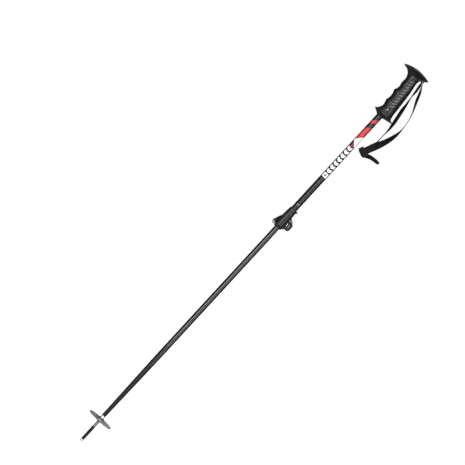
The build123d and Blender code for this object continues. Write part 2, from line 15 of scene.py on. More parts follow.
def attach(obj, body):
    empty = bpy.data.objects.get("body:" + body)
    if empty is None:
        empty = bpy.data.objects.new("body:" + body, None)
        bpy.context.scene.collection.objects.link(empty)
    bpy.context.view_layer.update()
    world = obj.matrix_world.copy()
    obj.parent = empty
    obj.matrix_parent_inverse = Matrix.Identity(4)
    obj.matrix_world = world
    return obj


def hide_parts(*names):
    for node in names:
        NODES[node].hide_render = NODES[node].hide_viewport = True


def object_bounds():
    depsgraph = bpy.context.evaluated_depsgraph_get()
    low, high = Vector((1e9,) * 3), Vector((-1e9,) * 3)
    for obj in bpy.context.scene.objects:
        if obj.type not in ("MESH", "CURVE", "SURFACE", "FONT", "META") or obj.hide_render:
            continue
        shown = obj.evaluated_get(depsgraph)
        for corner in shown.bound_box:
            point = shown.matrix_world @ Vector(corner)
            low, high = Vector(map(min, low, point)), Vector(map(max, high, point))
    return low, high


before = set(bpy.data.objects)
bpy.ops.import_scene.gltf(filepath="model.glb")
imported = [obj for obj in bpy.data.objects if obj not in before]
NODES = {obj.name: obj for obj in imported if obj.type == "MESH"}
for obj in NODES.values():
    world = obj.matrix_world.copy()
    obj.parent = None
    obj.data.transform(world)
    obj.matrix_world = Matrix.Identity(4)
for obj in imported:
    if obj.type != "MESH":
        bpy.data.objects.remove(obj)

CAD_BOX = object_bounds()
MM = 0.001

# ---------------------------------------------------------------- camera, floor and light (metres, watts)
CAMERA_AT = (-0.0605, -3.595, 0.527)
ROLL = 42.64  # degrees, so that the pole leans to the upper right of the picture
LENS, SENSOR, CLIP_END = 135.0, 36.0, 200.0
FLOOR_Z, FLOOR_DROP, FLOOR_RADIUS = CAD_BOX[0].z, 0.0004, 90.0
SKY_LIGHT, SKY_SEEN, FLOOR_GLOW = 0.08, 1.0, 0.985
# name, place, aim, width and height, power
LAMPS = [
    ("key", (-1.0, -2.3, 1.0), (0, 0, 0.55), (0.8, 1.9), 55),
    ("fill", (1.45, -2.05, 0.9), (0, 0, 0.5), (0.5, 1.9), 30),
    ("top", (0.1, -0.5, 2.6), (0, 0, 0.6), (0.9, 0.5), 12),
    ("rim", (0.6, 2.4, 1.5), (0, 0, 0.6), (0.8, 1.9), 16),
]


def make_camera():
    data = bpy.data.cameras.new("camera")
    data.lens = LENS
    data.sensor_width = SENSOR
    data.clip_end = CLIP_END
    camera = bpy.data.objects.new("camera", data)
    bpy.context.scene.collection.objects.link(camera)
    upright = Matrix.Rotation(math.radians(90), 4, "X")
    roll = Matrix.Rotation(math.radians(-ROLL), 4, "Y")
    camera.matrix_world = Matrix.Translation(CAMERA_AT) @ roll @ upright
    bpy.context.scene.camera = camera


def make_lamp(name, at, towards, size, watts):
    data = bpy.data.lights.new(name, "AREA")
    data.shape = "RECTANGLE"
    data.size, data.size_y = size
    data.energy = watts
    lamp = bpy.data.objects.new(name, data)
    bpy.context.scene.collection.objects.link(lamp)
    lamp.location = at
    lamp.rotation_euler = (Vector(towards) - Vector(at)).to_track_quat("-Z", "Y").to_euler()


def make_world():
    """White to the camera, dim to the object, so that black plastic stays black."""
    bpy.context.scene.view_settings.view_transform = "Standard"
    world = bpy.data.worlds.new("studio")
    bpy.context.scene.world = world
    world.use_nodes = True
    nodes, links = world.node_tree.nodes, world.node_tree.links
    sky = nodes["Background"]
    sky.inputs["Color"].default_value = (1, 1, 1, 1)
    strength = nodes.new("ShaderNodeMapRange")
    strength.inputs["To Min"].default_value = SKY_LIGHT
    strength.inputs["To Max"].default_value = SKY_SEEN
    links.new(nodes.new("ShaderNodeLightPath").outputs["Is Camera Ray"], strength.inputs["Value"])
    links.new(strength.outputs[0], sky.inputs["Strength"])


def make_floor():
    """Pale floor whose glow only the camera sees, for the same reason."""
    under_tip = (0, 0, FLOOR_Z - FLOOR_DROP)
    bpy.ops.mesh.primitive_circle_add(vertices=96, radius=FLOOR_RADIUS, fill_type="NGON", location=under_tip)
    floor = bpy.context.object
    floor.name = "floor"
    paint = Shader("floor_paint", (0.4, 0.4, 0.4), 0.9)
    paint.link(paint.mix(paint.noise(FINE, 3.0), (0.38, 0.38, 0.38), (0.42, 0.42, 0.42)), "Base Color")
    glow = paint.product(paint.add("LightPath").outputs["Is Camera Ray"], FLOOR_GLOW)
    paint.set(Emission_Color=(1, 1, 1, 1))
    paint.link(glow, "Emission Strength")
    floor.data.materials.append(paint.material)


# ---------------------------------------------------------------- material helper
PATCHES, CLOUDS, STAINS, GRAIN, FINE = 0.08, 0.15, 0.3, 1.4, 3.0  # scales of noise, per millimetre
MIX_FLOATS, MIX_COLOURS = (2, 3, 0), (6, 7, 2)  # sockets of a Mix node: first, second, result


class Shader:
    """A Principled material with short calls for the nodes that feed it. Coordinates are in millimetres."""

    def __init__(self, name, colour, roughness, **sockets):
        self.material = bpy.data.materials.new(name)
        self.material.use_nodes = True
        self.tree = self.material.node_tree
        self.bsdf = self.tree.nodes["Principled BSDF"]
        self.set(Base_Color=(*colour, 1), Roughness=roughness, **sockets)
        coords = self.add("TexCoord").outputs["Object"]
        self.place = self.add("VectorMath", coords, (1 / MM, 1 / MM, 1 / MM), operation="MULTIPLY").outputs[0]

    def set(self, **sockets):
        for key, value in sockets.items():
            self.bsdf.inputs[key.replace("_", " ")].default_value = value

    def add(self, kind, *values, **settings):
        node = self.tree.nodes.new("ShaderNode" + kind)
        for key, value in settings.items():
            setattr(node, key, value)
        for socket, value in zip(node.inputs, values):
            self.feed(value, socket)
        return node

    def feed(self, value, socket):
        if isinstance(value, bpy.types.NodeSocket):
            self.tree.links.new(value, socket)
        elif value is not None:
            socket.default_value = value

    def link(self, output, name):
        self.tree.links.new(output, self.bsdf.inputs[name])

    def axes(self):
        return self.add("SeparateXYZ", self.place).outputs

    def math(self, operation, a, b=None, c=None, clamp=False):
        return self.add("Math", a, b, c, operation=operation, use_clamp=clamp).outputs[0]

    def product(self, *factors):
        total = factors[0]
        for factor in factors[1:]:
            total = self.math("MULTIPLY", total, factor)
        return total

    def away(self, value, centre):
        """Distance from a centre, along one axis."""
        return self.math("ABSOLUTE", self.math("SUBTRACT", value, centre))

    def arch(self, value):
        """Half a sine wave over each whole step of a value."""
        return self.math("SINE", self.math("MULTIPLY", self.math("FRACT", value), math.pi))

    def radius(self, a, b):
        return self.math("SQRT", self.math("MULTIPLY_ADD", a, a, self.math("MULTIPLY", b, b)))

    def noise(self, per_mm, detail, stretch=(1, 1, 1)):
        where = self.add("VectorMath", self.place, stretch, operation="MULTIPLY").outputs[0]
        node = self.add("TexNoise")
        self.feed(where, node.inputs["Vector"])
        self.feed(per_mm, node.inputs["Scale"])
        self.feed(detail, node.inputs["Detail"])
        return node.outputs["Fac"]

    def remap(self, value, low, high, out_low, out_high):
        return self.add("MapRange", value, low, high, out_low, out_high).outputs[0]

    def spread(self, noise, low, high):
        """Noise, which mostly lies between 0.3 and 0.7, stretched over a range."""
        return self.remap(noise, 0.3, 0.7, low, high)

    def blend(self, fac, a, b, kind="FLOAT", sockets=MIX_FLOATS):
        node = self.add("Mix", fac, data_type=kind)
        first, second, result = sockets
        self.feed(a, node.inputs[first])
        self.feed(b, node.inputs[second])
        return node.outputs[result]

    def mix(self, fac, *colours):
        a, b = (c if isinstance(c, bpy.types.NodeSocket) else (*c, 1) for c in colours)
        return self.blend(fac, a, b, "RGBA", MIX_COLOURS)

    def bump(self, height, depth_mm):
        node = self.add("Bump")
        node.inputs["Strength"].default_value = 1.0
        node.inputs["Distance"].default_value = depth_mm * MM
        self.feed(height, node.inputs["Height"])
        self.link(node.outputs["Normal"], "Normal")


# ---------------------------------------------------------------- finishes
def moulded(name, colour, roughness, grain, depth, **sockets):
    """Injection-moulded plastic: fine spark-eroded grain, uneven gloss, lighter patches."""
    shader = Shader(name, colour, roughness, **sockets)
    lighter = tuple(c * 1.5 for c in colour)
    shader.link(shader.mix(shader.noise(PATCHES, 3.0), colour, lighter), "Base Color")
    shader.link(shader.spread(shader.noise(STAINS, 4.0), roughness - 0.06, roughness + 0.08), "Roughness")
    shader.bump(shader.noise(grain, 3.0), depth)
    return shader.material


def metal(name, colour, roughness, marks_per_mm=1.5):
    """Bare metal with small turning marks and stains."""
    shader = Shader(name, colour, roughness, Metallic=1.0)
    marks = shader.noise(marks_per_mm, 4.0)
    darker = tuple(c * 0.82 for c in colour)
    shader.link(shader.mix(shader.noise(CLOUDS, 3.0), darker, colour), "Base Color")
    shader.link(shader.spread(marks, roughness - 0.05, roughness + 0.12), "Roughness")
    shader.bump(marks, 0.008)
    return shader.material


COLLAR_Z = 58.0  # the ferrule is satin above this height and polished below it


def polished_ferrule():
    """Polished neck below the basket, and a satin collar above it."""
    shader = Shader("polished_aluminium", (0.8, 0.8, 0.81), 0.12, Metallic=1.0)
    _, _, z = shader.axes()
    collar = shader.math("GREATER_THAN", z, COLLAR_Z)
    rings = shader.noise(2.0, 4.0, (0.2, 0.2, 6.0))
    neck = shader.mix(shader.noise(STAINS, 4.0), (0.36, 0.36, 0.38), (0.52, 0.52, 0.54))
    shader.link(shader.mix(collar, neck, (0.9, 0.9, 0.9)), "Base Color")
    dullness = shader.blend(collar, shader.spread(rings, 0.16, 0.26), shader.spread(rings, 0.42, 0.56))
    shader.link(dullness, "Roughness")
    shader.bump(rings, 0.006)
    return shader.material


# Radii of the pits painted dark as shade in the screw's socket and the rivet's dimple
SCREW_AT, SOCKET_R = (14.0, 614.0), 1.75
RIVET_AT, DIMPLE_R = (0.0, 640.0), 1.7
PIT_EDGE = 0.15


def round_head(name, centre, pit_radius, pit, rim, roughness, metallic):
    """Head of a screw or rivet on the front of the clamp: a bright rim around a pit painted dark as the shade
    inside its socket or dimple.
    """
    shader = Shader(name, rim, roughness, Metallic=metallic)
    x, _, z = shader.axes()
    reach = shader.radius(shader.away(x, centre[0]), shader.away(z, centre[1]))
    outside = shader.remap(reach, pit_radius - PIT_EDGE, pit_radius + PIT_EDGE, 0.0, 1.0)
    turned = shader.noise(FINE, 3.0)
    worn_rim = shader.mix(turned, tuple(c * 0.7 for c in rim), rim)
    # The pit's dark colour is painted shade in the socket or dimple
    shader.link(shader.mix(outside, pit, worn_rim), "Base Color")
    shader.link(shader.spread(turned, roughness - 0.05, roughness + 0.1), "Roughness")
    shader.bump(turned, 0.006)
    return shader.material


HUB_DARK_R, DISC_PALE_R = 8.0, 17.0


def smoke_plastic():
    """Smoke-grey basket plastic: thin and pale in the disc, thick and dark at the hub."""
    shader = Shader("smoke_plastic", (0.3, 0.3, 0.31), 0.4, IOR=1.49)
    x, y, _ = shader.axes()
    disc = shader.remap(shader.radius(x, y), HUB_DARK_R, DISC_PALE_R, 0.0, 1.0)
    cloud = shader.spread(shader.noise(1.5 * PATCHES, 3.0), 0.65, 1.0)
    tone = shader.mix(shader.product(disc, cloud), (0.045, 0.045, 0.047), (0.25, 0.25, 0.255))
    shader.link(tone, "Base Color")
    shader.link(shader.spread(shader.noise(2 * STAINS, 4.0), 0.3, 0.48), "Roughness")
    shader.bump(shader.noise(GRAIN, 3.0), 0.03)
    return shader.material


# ---------------------------------------------------------------- tubes
RED, DARK_RED = (0.48, 0.026, 0.03), (0.14, 0.007, 0.014)
WHITE, BLACK, GREY = (0.9, 0.9, 0.91), (0.006, 0.006, 0.007), (0.12, 0.12, 0.13)
EDGE = 4.0  # sharpness of a printed edge, per millimetre
# Bands: height of the upper edge at the tube's middle and its slope, then the same of the lower edge
FRONT_BANDS = [(896.6, 0.81, 887.4, 0.6), (875.3, 0.67, 845.6, 1.17)]
BACK_BANDS = [(870.4, 0.76, 853.6, -0.9), (850.6, -0.9, 846.4, -0.9)]
BACK_BOWED = [("ADD", (726.0, -0.64, 705.0, 0.0)), ("SUBTRACT", (705.4, 0.0, 687.6, 0.76))]
BOW = 0.05
# Fades: where the red starts and is full, height and slope of the upper edge, height of the lower edge
FRONT_FADE = (788.0, 836.0, 834.0, -1.1, 780.0)
BACK_FADE = (815.0, 852.0, 851.0, -0.9, 806.0)
WEDGE_Z, WEDGE_HALF, WEDGE_SLOPE, WEDGE_EDGE = 838.8, 8.0, 1.17, 3.0
FRONT_ROW_Z, BACK_ROW_Z = 738.0, 753.0
CHEVRON_PITCH, CHEVRON_COUNT, CHEVRON_SLOPE, CHEVRON_FILL, CHEVRON_GAP = 10.45, 7, 0.55, 0.6, 1.8
ROW_HALF, DIAMOND_HALF = 5.2, 2.9
TAG_Z = 660.5
SEAM_HALF = 1.5  # the print leaves the tube's two sides black


class Print:
    """Layers of flat colour on one side of the tube: across is the place over its width, z the height."""

    def __init__(self, shader, across, z):
        self.shader, self.across, self.z = shader, across, z
        self.colour = BLACK

    def soft(self, inside, sharpness=EDGE):
        """Mask from a distance inside a printed edge."""
        return self.shader.math("MULTIPLY_ADD", inside, sharpness, 0.5, clamp=True)

    def above(self, z0, slope=0.0):
        """Everything above a straight edge that crosses the tube's middle at z0."""
        edge = self.shader.math("MULTIPLY_ADD", self.across, slope, z0)
        return self.soft(self.shader.math("SUBTRACT", self.z, edge))

    def below(self, z0, slope=0.0):
        return self.shader.math("SUBTRACT", 1.0, self.above(z0, slope))

    def lay(self, colour, *masks):
        self.colour = self.shader.mix(self.shader.product(*masks), self.colour, colour)

    def band(self, top, top_slope, bottom, bottom_slope):
        self.lay(RED, self.below(top, top_slope), self.above(bottom, bottom_slope))

    def fade(self, start, full, top, top_slope, bottom):
        growing = self.shader.remap(self.z, start, full, 0.0, 1.0)
        self.lay(DARK_RED, growing, self.below(top, top_slope), self.above(bottom))

    def wedge(self):
        half = self.shader.math("MULTIPLY_ADD", self.across, WEDGE_SLOPE, WEDGE_HALF)
        inside = self.shader.math("SUBTRACT", half, self.shader.away(self.z, WEDGE_Z))
        self.lay(WHITE, self.soft(inside, WEDGE_EDGE))

    def chevrons(self, bottom):
        """Row of arrowheads above a square with a diamond opening in it."""
        shader = self.shader
        off = shader.away(self.across, 0.0)
        inside = shader.math("LESS_THAN", off, ROW_HALF)
        first = bottom + CHEVRON_PITCH + CHEVRON_GAP
        bent = shader.math("SUBTRACT", shader.math("MULTIPLY_ADD", off, -CHEVRON_SLOPE, self.z), first)
        place = shader.math("DIVIDE", bent, CHEVRON_PITCH)
        head = shader.math("LESS_THAN", shader.math("FRACT", place), CHEVRON_FILL)
        started = shader.math("GREATER_THAN", place, 0.0)
        unfinished = shader.math("LESS_THAN", place, CHEVRON_COUNT)
        self.lay(WHITE, head, inside, started, unfinished)
        middle = shader.away(self.z, bottom + CHEVRON_PITCH / 2)
        outside_diamond = shader.math("GREATER_THAN", shader.math("ADD", middle, off), DIAMOND_HALF)
        self.lay(WHITE, self.below(bottom + CHEVRON_PITCH), self.above(bottom), inside, outside_diamond)

    def tag(self):
        """Small soft mark above the clamp."""
        up = self.shader.remap(self.shader.away(self.z, TAG_Z), 1.6, 3.0, 1.0, 0.0)
        self.lay(GREY, up, self.shader.remap(self.shader.away(self.across, 0.0), 2.2, 3.4, 1.0, 0.0))


def front_print(shader, x, z):
    front = Print(shader, x, z)
    front.fade(*FRONT_FADE)
    for band in FRONT_BANDS:
        front.band(*band)
    front.wedge()
    front.chevrons(FRONT_ROW_Z)
    front.tag()
    return front.colour


def back_print(shader, x, z):
    back = Print(shader, shader.math("MULTIPLY", x, -1.0), z)
    back.fade(*BACK_FADE)
    for band in BACK_BANDS:
        back.band(*band)
    back.chevrons(BACK_ROW_Z)
    bow = shader.math("MULTIPLY", shader.math("POWER", back.across, 2.0), BOW)
    for way, band in BACK_BOWED:
        back.z = shader.math(way, z, bow)
        back.band(*band)
    return back.colour


def tube_print():
    """Gloss black tube with red and white bands, a row of arrowheads and fine scuffs."""
    shader = Shader(
        "tube_print", BLACK, 0.34, Specular_IOR_Level=0.25, Coat_Weight=0.35, Coat_Roughness=0.16
    )
    x, y, z = shader.axes()
    rear = shader.math("MULTIPLY_ADD", y, EDGE, 0.5, clamp=True)
    colour = shader.mix(rear, front_print(shader, x, z), back_print(shader, x, z))
    off_seam = shader.math("GREATER_THAN", shader.away(y, 0.0), SEAM_HALF)
    colour = shader.mix(off_seam, BLACK, colour)
    scuffs = shader.noise(0.9, 6.0, (1, 1, 0.12))
    worn = shader.remap(scuffs, 0.66, 0.8, 0.0, 0.3)
    shader.link(shader.mix(worn, colour, GREY), "Base Color")
    shader.link(shader.remap(scuffs, 0.35, 0.75, 0.3, 0.44), "Roughness")
    shader.bump(shader.noise(0.5, 3.0), 0.01)
    return shader.material


def tube_black():
    """Gloss black tube with faint lengthwise slide marks."""
    shader = Shader(
        "tube_black", BLACK, 0.26, Specular_IOR_Level=0.15, Coat_Weight=1.0, Coat_Roughness=0.1
    )
    slides = shader.noise(2.2, 5.0, (1, 1, 0.01))
    shader.link(shader.mix(shader.remap(slides, 0.62, 0.8, 0.0, 0.2), BLACK, GREY), "Base Color")
    shader.link(shader.remap(slides, 0.3, 0.75, 0.22, 0.38), "Roughness")
    shader.bump(slides, 0.006)
    return shader.material


# ---------------------------------------------------------------- mesh helpers
def make_object(name, verts_mm, faces, material, uvs=None, smooth=True):
    mesh = bpy.data.meshes.new(name)
    mesh.from_pydata([tuple(float(c) * MM for c in v) for v in verts_mm], [], faces)
    if uvs is not None:
        layer = mesh.uv_layers.new(name="along")
        for loop in mesh.loops:
            layer.data[loop.index].uv = uvs[loop.vertex_index]
    mesh.polygons.foreach_set("use_smooth", [smooth] * len(mesh.polygons))
    mesh.materials.append(material)
    mesh.validate()
    thing = bpy.data.objects.new(name, mesh)
    bpy.context.scene.collection.objects.link(thing)
    return thing


def face_outwards(mesh, bevel_mm=0.0):
    """Turns every face outwards, and rounds every edge when a bevel is asked for."""
    work = bmesh.new()
    work.from_mesh(mesh)
    bmesh.ops.recalc_face_normals(work, faces=work.faces)
    if bevel_mm:
        bmesh.ops.bevel(
            work, geom=work.edges[:], offset=bevel_mm * MM, segments=4, profile=0.5, affect="EDGES"
        )
    work.to_mesh(mesh)
    work.free()


def ring_faces(rings, around):
    """Quads between successive rings of the same number of points."""
    faces = []
    for first in range(0, (rings - 1) * around, around):
        for i in range(around):
            after = (i + 1) % around
            faces.append((first + i, first + after, first + around + after, first + around + i))
    return faces


def end_faces(rings, around):
    """One flat face on the first ring and one on the last."""
    return [tuple(range(around))[::-1], tuple(range((rings - 1) * around, rings * around))]


def make_prism(name, outline_xz, from_y, to_y, material, bevel_mm=0.0):
    """An outline drawn in the XZ plane, run from one depth to another."""
    count = len(outline_xz)
    verts = [(x, y, z) for y in (from_y, to_y) for x, z in outline_xz]
    faces = ring_faces(2, count) + end_faces(2, count)
    prism = make_object(name, verts, faces, material, smooth=bevel_mm > 0)
    face_outwards(prism.data, bevel_mm)
    return prism


def catmull(points, steps):
    """Smooth curve through rows of numbers, with the given number of steps between rows."""
    rows = np.array(points, float)
    padded = np.vstack([2 * rows[0] - rows[1], rows, 2 * rows[-1] - rows[-2]])
    t = np.linspace(0, 1, steps, endpoint=False)[:, None]
    spans = [
        b + 0.5 * ((c - a) * t + (2 * a - 5 * b + 4 * c - d) * t**2 + (3 * b - a - 3 * c + d) * t**3)
        for a, b, c, d in zip(padded, padded[1:], padded[2:], padded[3:])
    ]
    return np.vstack([*spans, rows[-1:]])


def smooth_step(value, low, high):
    t = np.clip((value - low) / (high - low), 0, 1)
    return t * t * (3 - 2 * t)


def cut_away(thing, cutter):
    """Cuts one mesh out of another and throws the cutter away."""
    modifier = thing.modifiers.new("cut", "BOOLEAN")
    modifier.object, modifier.operation, modifier.solver = cutter, "DIFFERENCE", "EXACT"
    depsgraph = bpy.context.evaluated_depsgraph_get()
    done = bpy.data.meshes.new_from_object(thing.evaluated_get(depsgraph))
    thing.modifiers.clear()
    thing.data = done
    bpy.data.objects.remove(cutter)


# ---------------------------------------------------------------- grip
# Each row is an oval ring: x and z on the fingers' side, x and z on the palm's side, half depth.
FLANGE_ROWS = [  # from the boot round the flange's edge
    (-7.1, 909.0, 7.1, 909.0, 7.1),
    (-8.1, 909.0, 8.1, 909.0, 8.1),
    (-8.3, 909.3, 8.3, 909.3, 8.3),
    (-9.6, 910.6, 10.6, 910.0, 9.2),
    (-14.4, 913.4, 19.4, 911.6, 12.6),
    (-19.0, 916.0, 28.2, 913.6, 16.4),
    (-20.1, 916.7, 29.2, 914.2, 16.9),
    (-20.2, 917.2, 29.4, 914.8, 17.0),
    (-19.7, 917.6, 28.6, 915.4, 16.7),
]
GRIP_ROWS = [  # up over the finger grooves to the flare of the cap, joined by a smooth curve
    (-18.6, 918.0, 26.4, 916.0, 16.0),
    (-16.4, 919.6, 23.6, 918.2, 14.9),
    (-14.0, 922.8, 21.5, 922.0, 13.8),
    (-11.8, 927.6, 20.4, 927.4, 13.2),
    (-10.8, 932.5, 19.9, 932.5, 13.0),
    (-12.0, 938.5, 19.4, 938.5, 13.0),
    (-13.8, 944.6, 18.9, 944.7, 13.0),
    (-12.5, 948.8, 18.5, 949.0, 12.9),
    (-11.8, 955.5, 17.9, 956.5, 12.7),
    (-12.6, 962.5, 17.3, 963.0, 12.7),
    (-15.2, 970.4, 16.6, 970.5, 12.7),
    (-13.2, 975.2, 16.1, 975.5, 12.6),
    (-12.0, 982.5, 15.4, 983.0, 12.3),
    (-13.8, 992.4, 13.9, 993.0, 12.2),
    (-13.4, 1003.0, 12.1, 1003.5, 12.2),
    (-16.2, 1011.0, 11.4, 1011.6, 13.2),
    (-20.6, 1016.6, 13.3, 1017.8, 16.0),
    (-27.6, 1020.8, 19.0, 1022.6, 21.6),
    (-34.6, 1022.6, 26.4, 1026.9, 28.4),
]
CAP_ROWS = [  # over the cap's rim, and down into the lid's seat and the bore of its spigot
    (-35.2, 1022.9, 27.1, 1027.4, 29.3),
    (-35.4, 1023.3, 27.3, 1027.8, 29.5),
    (-34.9, 1023.6, 26.8, 1028.1, 29.0),
    (-33.8, 1023.6, 25.7, 1028.0, 27.9),
    (-33.6, 1023.4, 25.5, 1027.8, 27.7),
    (-33.6, 1022.5, 25.5, 1026.9, 27.7),
    (-7.0, 1023.7, 7.0, 1024.9, 7.0),
    (-7.0, 1005.0, 7.0, 1005.0, 7.0),
]
BORE_ROW = (-7.1, 1003.5, 7.1, 1003.5, 7.1)  # top of the blind bore that the tube fills
AROUND, STEPS = 220, 16

# Side ribs: spacing, slope and curve across the grip, and how far they stand out
RIB_PITCH, RIB_RISE, RIB_BEND, RIB_HEIGHT, RIB_SINK = 7.33, 0.55, 0.045, 1.3, 0.35
RIB_LOW, RIB_TOP, RIB_HIGH = 934.0, 1003.8, 1008.5  # the panel's foot, its top crest and its head
RIB_X, RIB_DRIFT = 1.6, 0.042  # where the column's middle is at the top crest, and its lean
# Where the relief comes and goes: over the depth, and over u, the distance from the ribs' middle line
FLANK, PANEL_FINGERS, PANEL_PALM = (7.0, 10.0), (-5.8, -3.4), (5.0, 9.5)
# Where the painted highlight on the ribs comes and goes: over the depth, and over u
HIGHLIGHT_FLANK, HIGHLIGHT_FINGERS, HIGHLIGHT_PALM = (6.5, 9.5), (-5.0, -1.5), (2.5, 7.5)
KNOB_X, KNOB_Z, KNOB_SPREAD, KNOB_HEIGHT = 2.6, 928.6, 6.5, 1.5
FINGER_RIDGES, RIDGE_STARTS, RIDGE_ENDS = (970.4, 944.6), (-13.5, -11.0), (-7.5, -5.5)
GROOVE_Z, GROOVE_DEPTH = 921.4, 0.45

# Pocket under the cap's edge on the palm's side, where the strap goes in, and the cheeks on each side of it
POCKET = [(15.2, 1014.6), (15.2, 1027.6), (19.8, 1026.6), (30.6, 1023.5), (30.6, 1014.6)]
CHEEK = [
    (6.0, 1026.0), (6.0, 1012.6), (9.5, 1015.2), (14.0, 1018.6),
    (17.0, 1020.2), (19.6, 1020.9), (21.2, 1022.6), (21.4, 1026.0),
]
POCKET_HALF, CHEEK_OUT, CHEEK_BEVEL = 7.8, 10.9, 0.9


def grip_rings(rows):
    rows = np.asarray(rows, float)
    angle = np.linspace(0, 2 * np.pi, AROUND, endpoint=False)
    fingers = np.stack([rows[:, 0], np.zeros(len(rows)), rows[:, 1]], 1)
    palm = np.stack([rows[:, 2], np.zeros(len(rows)), rows[:, 3]], 1)
    middle, half = (fingers + palm) / 2, (palm - fingers) / 2
    rings = middle[:, None] + half[:, None] * np.cos(angle)[None, :, None]
    rings[:, :, 1] += rows[:, 4, None] * np.sin(angle)[None]
    return rings


def grip_relief(points):
    """How far the moulding stands out: side ribs, knob, ends of the finger ridges, groove of the flange."""
    x, y, z = np.moveaxis(points, -1, 0)
    u = x - RIB_X - (RIB_TOP - z) * RIB_DRIFT
    flank = smooth_step(np.abs(y), *FLANK)
    panel = smooth_step(u, *PANEL_FINGERS) * (1 - smooth_step(u, *PANEL_PALM)) * flank
    panel = panel * smooth_step(z, RIB_LOW, RIB_LOW + 2) * (1 - smooth_step(z, RIB_HIGH - 2, RIB_HIGH))
    wave = (z - RIB_TOP - RIB_RISE * u - RIB_BEND * u * np.abs(u)) / RIB_PITCH
    crest = np.abs(np.cos(np.pi * wave)) ** 0.9
    out = panel * (RIB_HEIGHT * crest - RIB_SINK)
    out += KNOB_HEIGHT * flank * np.exp(-((x - KNOB_X) ** 2 + (z - KNOB_Z) ** 2) / KNOB_SPREAD)
    for ridge in FINGER_RIDGES:
        run = smooth_step(u, *RIDGE_STARTS) * (1 - smooth_step(u, *RIDGE_ENDS))
        over = z - ridge - 0.5 * (u + 12)
        out += run * (0.7 * np.exp(-((over / 1.1) ** 2)) + 0.4 * np.exp(-(((over + 4) / 0.9) ** 2)))
    return out - GROOVE_DEPTH * np.exp(-(((z - GROOVE_Z + 0.02 * x) / 0.55) ** 2))


def grip_rubber():
    """Black rubber, with a painted grey highlight on the side ribs, brightest on their crests, and a painted
    highlight on the knob below them.
    """
    shader = Shader("grip_black", (0.006, 0.006, 0.007), 0.4, Specular_IOR_Level=0.4)
    x, y, z = shader.axes()
    flank = shader.remap(shader.away(y, 0.0), *HIGHLIGHT_FLANK, 0.0, 1.0)
    u = shader.math("MULTIPLY_ADD", z, RIB_DRIFT, shader.math("SUBTRACT", x, RIB_X + RIB_TOP * RIB_DRIFT))
    rise = shader.math("MULTIPLY_ADD", u, RIB_RISE, shader.product(u, RIB_BEND, shader.away(u, 0.0)))
    height = shader.math("SUBTRACT", shader.math("SUBTRACT", z, RIB_TOP), rise)
    wave = shader.math("COSINE", shader.math("MULTIPLY", height, math.pi / RIB_PITCH))
    crest = shader.math("POWER", shader.math("ABSOLUTE", wave), 2.5)
    # Painted grey highlight over the side ribs, strongest on their crests
    painted_rib_highlight = shader.product(
        flank,
        shader.remap(u, *HIGHLIGHT_FINGERS, 0.0, 1.0),
        shader.remap(u, *HIGHLIGHT_PALM, 1.0, 0.0),
        shader.remap(z, RIB_LOW, RIB_LOW + 3, 0.0, 1.0),
        shader.remap(z, RIB_HIGH - 3, RIB_HIGH, 1.0, 0.0),
        shader.math("MULTIPLY_ADD", crest, 0.8, 0.2),
    )
    # Painted highlight on the knob below the ribs
    reach = shader.radius(shader.away(x, KNOB_X), shader.away(z, KNOB_Z))
    knob = shader.product(shader.remap(reach, 0.9, 2.4, 1.0, 0.0), flank)
    black = shader.mix(shader.noise(PATCHES, 3.0), (0.006, 0.006, 0.007), (0.011, 0.011, 0.012))
    grey = shader.mix(painted_rib_highlight, black, (0.15, 0.15, 0.158))
    shader.link(shader.mix(knob, grey, (0.4, 0.4, 0.41)), "Base Color")
    shader.link(shader.spread(shader.noise(STAINS, 4.0), 0.32, 0.46), "Roughness")
    shader.bump(shader.noise(1.6, 3.0), 0.035)
    return shader.material


def make_grip(material):
    body = catmull(GRIP_ROWS, STEPS)
    rings = grip_rings(np.vstack([FLANGE_ROWS, body, CAP_ROWS]))
    across = np.roll(rings, -1, 1) - np.roll(rings, 1, 1)
    along = np.gradient(rings, axis=0)
    normal = np.cross(across, along)
    normal /= np.linalg.norm(normal, axis=2, keepdims=True) + 1e-12
    first, last = len(FLANGE_ROWS), len(FLANGE_ROWS) + len(body)
    rings[first:last] += normal[first:last] * grip_relief(rings[first:last])[..., None]
    # The bore's own end ring comes last and closes on the boot's first ring.
    rings = np.concatenate([rings, grip_rings([BORE_ROW])])
    start = (len(rings) - 1) * AROUND
    faces = ring_faces(len(rings) - 1, AROUND)
    faces += [(start + i, start + (i + 1) % AROUND, (i + 1) % AROUND, i) for i in range(AROUND)]
    faces.append(tuple(range(start - AROUND, start)))
    faces.append(tuple(range(start, start + AROUND))[::-1])
    grip = make_object("grip_moulding", rings.reshape(-1, 3), faces, material)
    cut_away(grip, make_prism("cutter", POCKET, -POCKET_HALF, POCKET_HALF, material))
    grip.data.set_sharp_from_angle(angle=math.radians(38))
    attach(grip, "upper")
    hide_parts("grip_body")


def make_cheeks(material):
    """Two rounded cheeks under the cap that carry the strap's pin."""
    for side, name in ((-1, "strap_cheek_front"), (1, "strap_cheek_back")):
        cheek = make_prism(name, CHEEK, side * POCKET_HALF, side * CHEEK_OUT, material, CHEEK_BEVEL)
        cheek.data.set_sharp_from_angle(angle=math.radians(50))
        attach(cheek, "upper")


# ---------------------------------------------------------------- webbing
WEBBING_W, WEBBING_T = 15.0, 1.3
ACROSS = (-1, -0.985, -0.93, -0.75, -0.5, -0.25, 0, 0.25, 0.5, 0.75, 0.93, 0.985, 1)  # in half widths
EDGE_SQUARE, END_SQUARE, END_LEAST = 10, 2.6, 0.02  # how square its edges and its far end are
ROUTE_STEPS = 10
YARNS, WEFTS = 11.0, 6.5  # columns and rows of the weave, per centimetre
SLIDER_X, SLIDER_Z, SLIDER_LEAN = 25.2, 831.0, 23.0
PIN_X, PIN_Z, PIN_BEND_R = 18.6, 1023.2, 2.3
